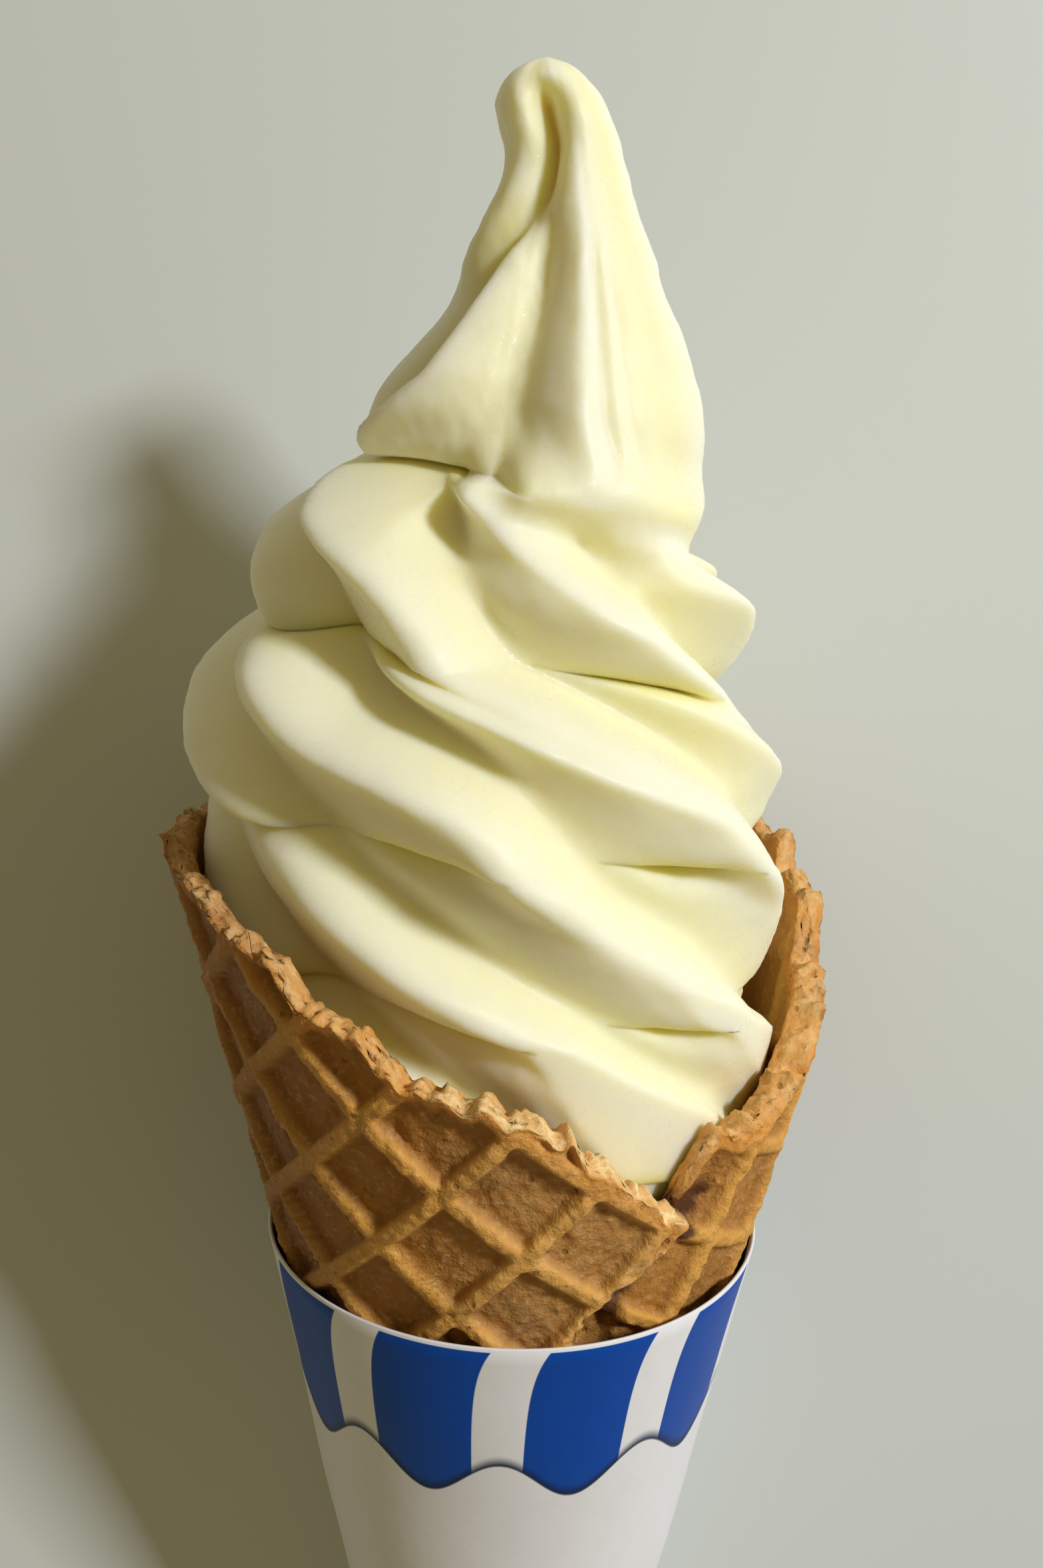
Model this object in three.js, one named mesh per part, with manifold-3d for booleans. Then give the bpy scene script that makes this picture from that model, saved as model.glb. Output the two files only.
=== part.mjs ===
// A soft serve cone, lying on its back: piped soft ice cream in a rolled waffle cone with a paper sleeve.
//
// Millimetres, +Z up. The shape is worked out round the cone's own axis and laid down at the end.
// height: along the axis, 0 at the sleeve's rim, growing towards the ice cream
// azimuth: round the axis in degrees, 0 at the front, growing to the right
// On its back, the cone has its front up (+Z) and the ice cream towards +Y.
import * as THREE from "three";
import { mergeVertices } from "three/addons/utils/BufferGeometryUtils.js";
import Module from "manifold-3d";

const wasm = await Module();
wasm.setup();

// ---- paper sleeve
const SLEEVE_RIM_RADIUS = 27.2;
const SLEEVE_APEX_DEPTH = 137; // from the rim down to the point where the paper's slope meets the axis
const SLEEVE_END = -108; // height of the narrow open end
const PAPER = 0.5;
const SLEEVE_COLUMNS = 48;
const SLEEVE_ROWS = 3;

// ---- waffle cone
const WAFFLE_RADIUS = 26.4; // outside, over the ribs, at the sleeve's rim
const WAFFLE_FLARE = 0.245; // radius gained for each mm above the sleeve's rim
const WAFFLE_TAPER = 0.198; // radius lost for each mm below it
const WAFFLE_TIP = -106;
const SHEET = 2.5; // thickness of the baked sheet
const SEAM_AZIMUTH = 36; // where the rolled sheet's outer edge leaves the rim
const SEAM_LEAN = 21; // how far that edge swings to the left on its way down to the sleeve
const SEAM_LEAN_HEIGHT = 12.5;
const SEAM_FADE = 95; // degrees over which the lower layer comes back to the full radius
// the rim's height against the degrees round from the seam, going left
const RIM = [
  [0, 12], [14, 18.2], [36, 26.5], [53, 28.3], [60, 34], [74, 38.3], [96, 42.3], [130, 43.5], [190, 47],
  [230, 46], [262, 43], [286, 35.5], [306, 28], [326, 21.5], [343, 19], [352, 19.5], [357, 15], [360, 12],
];
const RIM_CRUMBLE = 0.7; // height of the rim's ragged bites
const WAFFLE_COLUMNS = 60;
const CELL = 10.2; // pitch of the ribs
const CELL_TURN = 50; // degrees between the ribs and the sheet's middle line
const CELL_SHIFT = [0.55, 7.1];
const POCKET_TOP = 7.9; // width of a pocket at the ribs' tops
const POCKET_FLOOR = 6.2;
const POCKET_DEPTH = 1.3;
const POCKET_BORDER = 2.6; // plain border under the rim and beside the seam
const POCKET_LOWEST = -4;

// ---- soft ice cream
const PITCH = 16; // height gained for each turn of the coil
const COIL_MIDDLE = 7.6; // height of the lowest full turn's middle, at the front
const STAR_POINTS = 6; // ridges of the star nozzle
const RIDGE_AZIMUTH = 24; // where a ridge crosses the middle of every turn
const GROOVE = 4.8; // depth between ridges
const UNDERCUT = 3.4; // how deep a turn's upper edge hides behind the turn above
const LIP = 1.6; // rounding of a turn's lower edge
const DROOP = 0.22; // sag for each mm that a point stands out
const COLUMN_TURN = 5; // the turn that rises as the peak
// crest radius along the rope: [degrees of the rope, mm]
const COIL_RADIUS = [
  [-400, 24], [-90, 25.5], [90, 27.5], [270, 29.2], [450, 29.6], [630, 29.9], [810, 30.3], [990, 31.4],
  [1080, 31.6], [1170, 31], [1260, 28.8], [1350, 26.4], [1440, 25.4], [1530, 24.9], [1600, 22.5],
  [1680, 17], [1760, 10], [1850, 2], [2200, 0],
];
// crest radius of the peak against height
const PEAK_TOP = 119.3;
const PEAK_RADIUS = [
  [60, 14], [76, 15], [80, 16.6], [84.5, 17.2], [88, 16.4], [91, 14.7], [94, 12.9], [98, 10.6], [101, 9.5],
  [104, 8], [107, 6.7], [110, 5.8], [113, 5.7], [115, 5.4], [117, 4.1], [118.4, 2.4], [PEAK_TOP, 0],
];
// sideways shift of the middle against height: the tip is bent over to the left
const LEAN = [
  [0, 0.3], [20, 0], [38, -2.6], [48, -3.7], [60, -3.9], [68, -3.4], [75, -2.6], [80, -0.8], [86, 0],
  [90, 0.6], [95, 1.7], [101, 1.9], [105, 2], [108.5, 2.2], [111, 1.9], [113, 1.2], [115, 0.5], [117, 0.1],
  [PEAK_TOP, 0],
];
// the fold where the bent tip lies against the peak: [height, azimuth]
const FOLD = [[99, -46], [104, -37], [108, -32], [111, -28], [114, -24], [118, -20]];
const FOLD_DEPTH = 2.9;
const FOLD_WIDTH = 13; // degrees
const FLARE_AZIMUTH = -62; // the peak's left ridge spreads out at its foot
const FLARE_WIDTH = 34;
const FLARE = [[70, 30], [84, 30], [93, 16], [101, 6], [106, 0]];
const ICE_COLUMNS = 42;
const ICE_ROWS = 7; // for each turn
const LOWEST_TURN = -2;
const HIGHEST_TURN = 8;
const PLUG_TOP = -2; // under this height the ice cream only fills the cone
const PLUG_END = -98;
const PLUG_ROOM = 14; // the coil's own height that is stretched down over the plug
const GAP = 0.5;

const radians = THREE.MathUtils.degToRad;
const clamp = THREE.MathUtils.clamp;
const smooth = (x) => THREE.MathUtils.smoothstep(x, 0, 1);
const mix = THREE.MathUtils.lerp;
const rounding = (x) => 1 - Math.sqrt(1 - clamp(x, 0, 1) ** 2); // a quarter circle's fall

// A smooth curve through [x, y] points: cubics with the slopes of the neighbouring chords.
function through(points) {
  const last = points.length - 1;
  const slope = (i) => {
    const a = points[Math.max(i - 1, 0)];
    const b = points[Math.min(i + 1, last)];
    return (b[1] - a[1]) / (b[0] - a[0]);
  };
  return (x) => {
    const at = clamp(x, points[0][0], points[last][0]);
    let i = 0;
    while (i < last - 1 && points[i + 1][0] < at) i += 1;
    const [x0, y0] = points[i];
    const [x1, y1] = points[i + 1];
    const span = x1 - x0;
    const t = (at - x0) / span;
    const rise = t * t * (3 - 2 * t);
    return (
      y0 + (y1 - y0) * rise +
      span * (slope(i) * (t * t * t - 2 * t * t + t) + slope(i + 1) * (t * t * t - t * t))
    );
  };
}

const coilRadius = through(COIL_RADIUS);
const peakRadius = through(PEAK_RADIUS);
const flareAt = through(FLARE);
const leanAt = through(LEAN);
const foldAt = through(FOLD);
const rimAt = through(RIM);

const waffleOutside = (height) => WAFFLE_RADIUS + (height > 0 ? WAFFLE_FLARE : WAFFLE_TAPER) * height;
const sleeveOutside = (height) => SLEEVE_RIM_RADIUS * (1 + height / SLEEVE_APEX_DEPTH);

// ---- laying the cone down
const REST_AZIMUTH = 180;
const REST_HEIGHT = rimAt(SEAM_AZIMUTH + 360 - REST_AZIMUTH);
const REST_CUT_WAFFLE = 0.9; // how deep the floor flattens the rim, and the narrow end of the sleeve
const REST_CUT_SLEEVE = 0.3;
const restRim = waffleOutside(REST_HEIGHT) - REST_CUT_WAFFLE;
const restEnd = sleeveOutside(SLEEVE_END) - REST_CUT_SLEEVE;
const tilt = Math.atan2(restRim - restEnd, REST_HEIGHT - SLEEVE_END);
const floorDrop = restEnd * Math.cos(tilt) - SLEEVE_END * Math.sin(tilt);

// Cone coordinates (right, front, height) to the lying frame.
function lay(right, front, height) {
  return [
    right,
    height * Math.cos(tilt) - front * Math.sin(tilt),
    height * Math.sin(tilt) + front * Math.cos(tilt) + floorDrop,
  ];
}

function layPolar(radius, azimuth, height) {
  const a = radians(azimuth);
  return lay(radius * Math.sin(a), radius * Math.cos(a), height);
}

// A closed solid from vertices and four-sided faces, with coincident points merged.
function solidOf(vertices, quads) {
  const index = [];
  for (const [a, b, c, d] of quads) index.push(a, b, c, a, c, d);
  const raw = new THREE.BufferGeometry();
  raw.setAttribute("position", new THREE.Float32BufferAttribute(vertices.flat(), 3));
  raw.setIndex(index);
  const merged = mergeVertices(raw, 1e-3);
  const flat = [];
  const all = merged.index.array;
  for (let i = 0; i < all.length; i += 3) {
    const [a, b, c] = [all[i], all[i + 1], all[i + 2]];
    if (a !== b && b !== c && a !== c) flat.push(a, b, c);
  }
  const mesh = new wasm.Mesh({
    numProp: 3,
    vertProperties: new Float32Array(merged.attributes.position.array),
    triVerts: new Uint32Array(flat),
  });
  return new wasm.Manifold(mesh);
}

// Faces of a grid: rows[i][j] is column i, row j, and the last column joins the first, rowShift rows lower.
function gridFaces(columns, rows, rowShift = 0) {
  const quads = [];
  for (let i = 0; i < columns; i += 1) {
    const wraps = i === columns - 1;
    const next = wraps ? 0 : i + 1;
    const shift = wraps ? rowShift : 0;
    for (let j = 0; j < rows - 1; j += 1) {
      if (j - shift < 0) continue;
      quads.push([i * rows + j, next * rows + j - shift, next * rows + j + 1 - shift, i * rows + j + 1]);
    }
  }
  return quads;
}

// ---- soft ice cream
// Room for the ice cream inside the waffle, at an azimuth and height.
function waffleInside(azimuth, height) {
  return waffleOutside(height) - SHEET - SHEET * 0.9 * seamStep(seamTurn(azimuth, height));
}

// How far round the sheet an azimuth lies, 0 at the seam, going left.
function seamTurn(azimuth, height) {
  return (((seamAzimuth(height) - azimuth) % 360) + 360) % 360;
}

function seamAzimuth(height) {
  return SEAM_AZIMUTH - SEAM_LEAN * smooth((SEAM_LEAN_HEIGHT - height) / SEAM_LEAN_HEIGHT);
}

// 1 beside the seam, where two layers lie on each other, 0 away from it.
function seamStep(turn) {
  return 1 - smooth(Math.min(turn, 360 - turn) / SEAM_FADE);
}

// One point of the ice cream. turn is the coil's turn, across runs from -0.5 at its lower edge to 0.5 at its
// upper edge. The radius is the coil's crest radius, less the star nozzle's grooves, less the tuck behind
// the turn above, less the round of the lower lip; what stands out then sags.
function icePoint(azimuth, turn, across) {
  const column = turn >= COLUMN_TURN;
  const level = turn + across;
  const v = column ? level - COLUMN_TURN : across;
  const rope = 360 * Math.min(turn, COLUMN_TURN) - azimuth;
  const upper = 360 * (Math.min(turn, COLUMN_TURN) + 0.5) - azimuth;
  const lower = upper - 360;
  const height = COIL_MIDDLE + PITCH * (level - azimuth / 360);

  // ridges: they slant down to the right over a turn and stand straight on the peak
  const topSlant = column ? 0 : 1 - smooth((upper - 1690) / 100);
  const footSlant = 1 - smooth((lower - 1440) / 120);
  const slant = v > 0 ? -0.72 * v * topSlant : 0.64 * clamp(-2 * v, 0, 1) ** 1.5 * footSlant;
  const spread = column ? Math.exp(-(((azimuth - FLARE_AZIMUTH) / FLARE_WIDTH) ** 2)) * flareAt(height) : 0;
  const phase = (STAR_POINTS * (azimuth + spread - RIDGE_AZIMUTH)) / 360 - slant;
  const off = Math.abs(phase - Math.round(phase)) * 2; // 0 on a crest, 1 in a groove
  const crest = 1 - (0.88 * off + 0.12 * (0.5 - 0.5 * Math.cos(Math.PI * off)));

  // envelope: the crest radius, rounded in at the top towards the next turn
  const here = coilRadius(rope);
  const peak = peakRadius(height);
  const above = turn >= COLUMN_TURN - 1 ? peak : coilRadius(rope + 360);
  const stepIn = Math.max(here - above, 0);
  const shoulder = 0.2 + 0.42 * smooth(stepIn / 8);
  let envelope = here - stepIn * rounding((v - 0.5 + shoulder) / shoulder);
  if (column) envelope = Math.max(envelope, peak);

  const creaseFade = (degrees) => (1 - smooth((degrees - 1700) / 90)) * smooth((degrees - 150) / 150);
  const hollow = 1 - crest * crest;
  const tuck = column ? 0 : UNDERCUT * hollow * rounding((v - 0.16) / 0.34) * creaseFade(upper);
  const lip = LIP * hollow * rounding((-v - 0.3) / 0.2) * creaseFade(lower);
  const knob = smooth((height - 101) / 8);
  const fold = FOLD_DEPTH * Math.exp(-(((azimuth - foldAt(height)) / FOLD_WIDTH) ** 2));
  const groove = Math.min(GROOVE, mix(0.3, 0.12, knob) * envelope);
  let radius = envelope - groove * (1 - crest) - tuck - lip;
  radius -= fold * smooth((height - 99) / 6) * smooth((117.5 - height) / 3);
  let z = height - DROOP * (radius - (here - 3.5)) * (1 - smooth((height - 82) / 12));

  // the plug that fills the cone
  const plug = smooth((6 - height) / 7);
  const stretch = (PLUG_TOP - PLUG_END) / PLUG_ROOM;
  const plugHeight = height > PLUG_TOP ? height : PLUG_TOP - (PLUG_TOP - height) * stretch;
  if (plugHeight <= PLUG_END) return lay(0, 0, PLUG_END);
  z = Math.min(mix(z, plugHeight, plug), PEAK_TOP);
  const room = waffleInside(azimuth, z) - GAP;
  radius = Math.max(Math.min(mix(radius, room, plug), room), 0);
  const a = radians(azimuth);
  return lay(leanAt(z) * smooth((z + 6) / 12) + radius * Math.sin(a), radius * Math.cos(a), z);
}

function makeIce() {
  const vertices = [];
  const rows = (HIGHEST_TURN - LOWEST_TURN + 1) * (ICE_ROWS + 1);
  const start = RIDGE_AZIMUTH - 180;
  for (let i = 0; i < ICE_COLUMNS; i += 1) {
    const azimuth = start + (360 * i) / ICE_COLUMNS;
    for (let turn = LOWEST_TURN; turn <= HIGHEST_TURN; turn += 1) {
      for (let j = 0; j <= ICE_ROWS; j += 1) vertices.push(icePoint(azimuth, turn, j / ICE_ROWS - 0.5));
    }
  }
  // ridges fall one row for each column, so each face is split along its falling diagonal
  const faces = gridFaces(ICE_COLUMNS, rows, ICE_ROWS + 1).map(([a, b, c, d]) => [b, c, d, a]);
  return solidOf(vertices, faces);
}

// ---- waffle cone
function rimHeight(turn) {
  const a = radians(turn);
  const bites = Math.sin(23 * a) + 0.7 * Math.sin(37 * a + 1) + 0.5 * Math.sin(11 * a + 2);
  return rimAt(turn) + RIM_CRUMBLE * bites * smooth(Math.min(turn, 360 - turn) / 12);
}

// Outside radius of the rolled sheet: the layer that comes out from under the seam lies one sheet lower.
function sheetOutside(turn, height) {
  return waffleOutside(height) - SHEET * (1 - smooth((360 - turn) / SEAM_FADE));
}

function makeShell() {
  const vertices = [];
  const outer = [-80, -50, -20, 0];
  const share = [0.25, 0.5, 0.75, 0.9];
  for (let i = 0; i <= WAFFLE_COLUMNS; i += 1) {
    const turn = (360 * i) / WAFFLE_COLUMNS;
    const top = rimHeight(turn);
    const at = (radius, height) => vertices.push(layPolar(Math.max(radius, 0), seamAzimuth(height) - turn, height));
    const inside = (height) => waffleInside(seamAzimuth(height) - turn, height);
    const outside = (height) => sheetOutside(turn, height);
    at(0, WAFFLE_TIP);
    at(outside(WAFFLE_TIP + 2) - 1.6, WAFFLE_TIP);
    at(outside(WAFFLE_TIP + 2), WAFFLE_TIP + 2);
    for (const height of outer) at(outside(height), height);
    for (const part of share) at(outside(top * part), top * part);
    at(outside(top) - 0.3, top - 0.5);
    at(outside(top) - 0.9, top);
    at(inside(top) + 0.8, top);
    at(inside(top) + 0.1, top - 0.6);
    for (const part of [...share].reverse()) at(inside(top * part), top * part);
    for (const height of [...outer].reverse()) at(inside(height), height);
    at(inside(PLUG_END - 1), PLUG_END - 1);
    at(0, PLUG_END - 1);
  }
  const rows = vertices.length / (WAFFLE_COLUMNS + 1);
  // columns run to the left, so the faces are turned over
  return solidOf(vertices, gridFaces(WAFFLE_COLUMNS + 1, rows).map((face) => face.reverse()));
}

// The sheet unrolled flat: distance from the point where its slope meets the axis, and the angle round it.
const APEX_DEPTH = WAFFLE_RADIUS / WAFFLE_FLARE;
const SLOPE = Math.hypot(1, WAFFLE_FLARE);
const UNROLL = WAFFLE_FLARE / SLOPE; // flat degrees for each degree round the cone

function rolled(along, aside, lift) {
  const distance = Math.hypot(along, aside);
  const azimuth = THREE.MathUtils.radToDeg(Math.atan2(aside, along)) / UNROLL;
  const height = distance / SLOPE - APEX_DEPTH;
  return { azimuth, height, radius: sheetOutside(seamTurn(azimuth, height), height) + lift };
}

// One pocket between the ribs: a block with slanting sides, its floor POCKET_DEPTH under the ribs' tops.
function makePocket(u, v) {
  const a = radians(CELL_TURN);
  const vertices = [];
  for (const [size, lift] of [[POCKET_FLOOR, -POCKET_DEPTH], [POCKET_TOP + 1.2, 0.9]]) {
    for (const [du, dv] of [[-1, -1], [1, -1], [1, 1], [-1, 1]]) {
      const [p, q] = [u + (du * size) / 2, v + (dv * size) / 2];
      const place = rolled(p * Math.cos(a) + q * Math.sin(a), p * -Math.sin(a) + q * Math.cos(a), lift);
      vertices.push(layPolar(place.radius, place.azimuth, place.height));
    }
  }
  return solidOf(vertices, [[0, 1, 2, 3], [7, 6, 5, 4], [4, 5, 1, 0], [5, 6, 2, 1], [6, 7, 3, 2], [7, 4, 0, 3]]);
}

function makePockets() {
  const a = radians(CELL_TURN);
  const reach = Math.ceil(170 / CELL);
  const pockets = [];
  for (let i = -reach; i <= reach; i += 1) {
    for (let j = -reach; j <= reach; j += 1) {
      const [u, v] = [i * CELL + CELL_SHIFT[0], j * CELL + CELL_SHIFT[1]];
      const along = u * Math.cos(a) + v * Math.sin(a);
      const aside = u * -Math.sin(a) + v * Math.cos(a);
      const place = rolled(along, aside, 0);
      const turn = seamTurn(place.azimuth, place.height);
      const room = (POCKET_TOP * Math.SQRT1_2 + 1.2) / waffleOutside(place.height);
      const fromSeam = radians(Math.min(turn, 360 - turn));
      const low = place.height < POCKET_LOWEST;
      const high = place.height > rimAt(turn) - POCKET_BORDER;
      const offSheet = place.azimuth > SEAM_AZIMUTH || place.azimuth < SEAM_AZIMUTH - 360;
      if (along < 0 || offSheet || low || high || fromSeam < room) continue;
      pockets.push(makePocket(u, v));
    }
  }
  return pockets;
}

// The band where pockets may be: from under the sleeve's rim to a plain border below the waffle's rim.
function makePocketZone() {
  const vertices = [];
  for (let i = 0; i <= WAFFLE_COLUMNS; i += 1) {
    const turn = (360 * i) / WAFFLE_COLUMNS;
    const top = rimAt(turn) - POCKET_BORDER;
    const at = (radius, height) => vertices.push(layPolar(radius, seamAzimuth(height) - turn, height));
    const inner = (height) => waffleOutside(height) - 2 * SHEET;
    for (const [r, z] of [[inner(-12), -12], [40, -12], [50, top], [inner(top), top], [inner(-12), -12]]) at(r, z);
  }
  const rows = 5;
  return solidOf(vertices, gridFaces(WAFFLE_COLUMNS + 1, rows).map((face) => face.reverse()));
}

function makeWaffle() {
  const pockets = makePockets().reduce((sum, pocket) => sum.add(pocket));
  return makeShell().subtract(pockets.intersect(makePocketZone()));
}

// ---- paper sleeve
function makeSleeve() {
  const profile = [];
  for (let j = 0; j <= SLEEVE_ROWS; j += 1) {
    const height = mix(SLEEVE_END, 0, j / SLEEVE_ROWS);
    profile.push([sleeveOutside(height), height]);
  }
  const inner = profile.map(([radius, height]) => [radius - PAPER, height]).reverse();
  const ring = [...profile, ...inner, profile[0]];
  const vertices = [];
  for (let i = 0; i < SLEEVE_COLUMNS; i += 1) {
    for (const [radius, height] of ring) vertices.push(layPolar(radius, (360 * i) / SLEEVE_COLUMNS, height));
  }
  return solidOf(vertices, gridFaces(SLEEVE_COLUMNS, ring.length));
}

// ---- the flat spot, the origin and the meshes
function makeFloor() {
  const depth = 20;
  const block = new THREE.BoxGeometry(200, 600, depth);
  block.translate(0, 0, -depth / 2);
  block.deleteAttribute("normal");
  block.deleteAttribute("uv");
  const merged = mergeVertices(block);
  return new wasm.Manifold(new wasm.Mesh({
    numProp: 3,
    vertProperties: new Float32Array(merged.attributes.position.array),
    triVerts: new Uint32Array(merged.index.array),
  }));
}

function meshOf(name, solid, material) {
  const { vertProperties, triVerts } = solid.getMesh();
  const geometry = new THREE.BufferGeometry();
  geometry.setAttribute("position", new THREE.Float32BufferAttribute(vertProperties, 3));
  geometry.setIndex(Array.from(triVerts));
  const mesh = new THREE.Mesh(geometry, material);
  mesh.name = name;
  return mesh;
}

const floor = makeFloor();
const cone = new THREE.Group();
cone.add(
  meshOf("soft_serve", makeIce(), new THREE.MeshStandardMaterial({ color: 0xefe7b0, roughness: 0.4 })),
  meshOf("waffle_cone", makeWaffle().subtract(floor), new THREE.MeshStandardMaterial({ color: 0xa8672c, roughness: 0.75 })),
  meshOf("paper_sleeve", makeSleeve().subtract(floor), new THREE.MeshStandardMaterial({ color: 0xf2f0ee, roughness: 0.6 })),
);

// The origin goes to the middle of the bottom of the whole.
const bounds = new THREE.Box3().setFromObject(cone);
const middle = bounds.getCenter(new THREE.Vector3());
cone.position.set(-middle.x, -middle.y, -bounds.min.z);

export default cone;
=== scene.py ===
"""Soft serve cone lying on its back: a piped swirl in a rolled waffle cone with a striped paper sleeve.

Tables are in millimetres and degrees, properties and meshes in metres. Every shape is worked out round
the cone's own axis and then laid down. Height runs along the axis from the sleeve's rim towards the ice
cream, and azimuth round it from the front to the right. The swirl is one piped rope: its degrees count
from the front of turn 0 and grow to the left. A span of four numbers says where something begins, is
full, starts to end and has ended.
"""

import math

import bpy
import numpy as np
from bpy.props import FloatProperty, FloatVectorProperty, IntProperty, PointerProperty
from mathutils import Euler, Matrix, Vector


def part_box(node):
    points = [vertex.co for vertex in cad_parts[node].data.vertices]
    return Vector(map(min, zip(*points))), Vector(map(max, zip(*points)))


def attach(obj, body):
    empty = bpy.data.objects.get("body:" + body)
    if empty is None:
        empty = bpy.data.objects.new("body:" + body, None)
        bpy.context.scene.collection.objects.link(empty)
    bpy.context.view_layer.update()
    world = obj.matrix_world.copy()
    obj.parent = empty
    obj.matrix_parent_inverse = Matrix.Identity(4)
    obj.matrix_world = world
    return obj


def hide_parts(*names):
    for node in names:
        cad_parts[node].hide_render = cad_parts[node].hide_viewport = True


bl_info = {
    "name": "Soft Serve Cone",
    "version": (1, 0, 0),
    "blender": (4, 5, 0),
    "location": "View3D > Sidebar > Soft Serve",
    "description": "Finishes a soft serve cone: piped swirl, rolled waffle and striped paper sleeve",
    "category": "Add Mesh",
}

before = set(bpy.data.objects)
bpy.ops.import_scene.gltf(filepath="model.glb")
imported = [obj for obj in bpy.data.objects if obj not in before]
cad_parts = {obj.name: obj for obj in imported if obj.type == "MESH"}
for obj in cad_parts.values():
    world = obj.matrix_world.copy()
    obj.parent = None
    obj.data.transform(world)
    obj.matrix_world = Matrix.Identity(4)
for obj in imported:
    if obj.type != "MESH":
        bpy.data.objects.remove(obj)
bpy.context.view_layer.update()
MM = 0.001

# ---- paper sleeve
SLEEVE_RIM_RADIUS = 27.2
SLEEVE_APEX_DEPTH = 137.0
SLEEVE_END = -108.0
# azimuth of a stripe's left edge at the rim, how far left it leans below it, and within which depth
STRIPE_AZIMUTH = 9.1
STRIPE_LEAN = 5.0
STRIPE_LEAN_DEPTH = 3.5
# azimuth of a scallop's lowest point
SCALLOP_AZIMUTH = 17.0
# the glued seam at the back: its azimuths and the height of its step
FLAP_SPAN = (148.0, 149.5, 150.0, 178.0)
FLAP_STEP = 0.25
FIBRE_GREY = (0.62, 0.60, 0.60)

# ---- waffle: its radius over the ribs at the sleeve's rim, and its slopes above and below
WAFFLE_RADIUS = 26.4
WAFFLE_FLARE = 0.245
WAFFLE_TAPER = 0.198
WAFFLE_TIP = -106.0
WAFFLE_INSIDE_TIP = -99.0
# below the shown part, inside the sleeve, a few rows do
SHOWN_LOW = -7.0
HIDDEN_ROWS = (-80.0, -50.0, -25.0, -12.0)
# the rolled sheet's outer edge, which swings left below the lean height, and how far its step fades out
SEAM_AZIMUTH = 36.0
SEAM_LEAN = 21.0
SEAM_LEAN_HEIGHT = 12.5
SEAM_FADE = 95.0
SECOND_SHEET = 0.9
# degrees round from the seam: the outer layer's rounded edge, where the inner layer sinks to lie under
# it, the gap in front of the edge, and the painted shadow, dark in that gap and on the edge
SEAM_EDGE = 2.6
SEAM_SINK = (320.0, 360.0)
SEAM_GAP = (347.5, 351.0)
SEAM_GAP_DEPTH = 1.2
SEAM_PAINTED_SHADOW = ((348.6, 350.1), (1.9, 1.0))
SEAM_PAINTED_SHADOW_HEIGHT = (-2.0, 1.0, 12.0, 14.5)
# azimuths of the painted light on the broken edge's front, and of the painted shade on the left side
PAINTED_LIGHT_FRONT = (-22.0, 4.0, 60.0, 80.0)
PAINTED_SHADE_SIDE = (-170.0, -110.0, -58.0, -22.0)
# the rim's height against the degrees round from the seam, going left
RIM = (
    (0, 12), (14, 18.2), (36, 26.5), (50, 28.6), (60, 32.2), (74, 37.2), (96, 42.3), (130, 43.5),
    (190, 47), (230, 46), (262, 43), (286, 35.5), (306, 28), (326, 21.5), (343, 19), (352, 19.5),
    (357, 15), (360, 12),
)
RIM_RADIUS = 33.0
RIM_EDGE = 0.75
RIM_ROWS = 12
INSIDE_ROWS = 26
# the sheet broke off in chunks: their length in degrees, and how much the rim is levelled on each
CHUNK = 17.0
CHUNK_LEVEL = 0.32
# place of the pockets' lattice on the unrolled sheet
LATTICE = (0.55, 7.1)
# the two places that it lies on: the waffle's back rim and the sleeve's end, each cut a little flat
REST_TURN = 216.0
REST_CUT_WAFFLE = 0.9
REST_CUT_SLEEVE = 0.3

# ---- swirl: the height of turn 0's middle at the front, one crest's azimuth, and the grid's turns. They
# run up the peak from COLUMN_TURN on. A power gathers the rows beside the creases.
COIL_MIDDLE = 7.6
RIDGE_AZIMUTH = 24.0
LOWEST_TURN = -2
COLUMN_TURN = 5
HIGHEST_TURN = 7
ROW_GATHER = 1.15
# crest radius along the rope: (degrees of the rope, radius)
COIL_RADIUS = (
    (-400, 24), (-90, 25.5), (90, 27.5), (270, 29.2), (450, 29.6), (630, 29.9), (810, 30.3),
    (990, 31.4), (1080, 31.6), (1170, 31), (1260, 28.8), (1350, 26.4), (1440, 25.4), (1530, 24.9),
    (1600, 22.5), (1680, 17), (1760, 10), (1850, 2), (2200, 0),
)
# creases: along the rope, and the azimuths far on the left where they run on under the crests
CREASED_ROPE = (150.0, 300.0, 1700.0, 1790.0)
CREASED_LEFT = (-160.0, -140.0, -50.0, -26.0)
# shares of the way from a crest to the next on its right: a crease deepens over the first two, its pit
# fades from the third on, and the way that the turns bend in beside it from the fourth on
CREASE_RISE = (0.36, 0.70)
PIT_FADE = 0.82
JOINT_FADE = 0.72
# part of a turn that bends towards the turn above, where they merge and beside a crease, and how much
# it grows with the step between the two turns' radii
SHOULDER_MERGED = 0.42
SHOULDER_CREASED = 0.2
SHOULDER_MORE = 0.3
SHOULDER_STEP = 8.0
# places across a turn, from -0.5 to 0.5, where the lip below ends and the tuck above begins
LIP_END = -0.3
TUCK_START = 0.16
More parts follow.
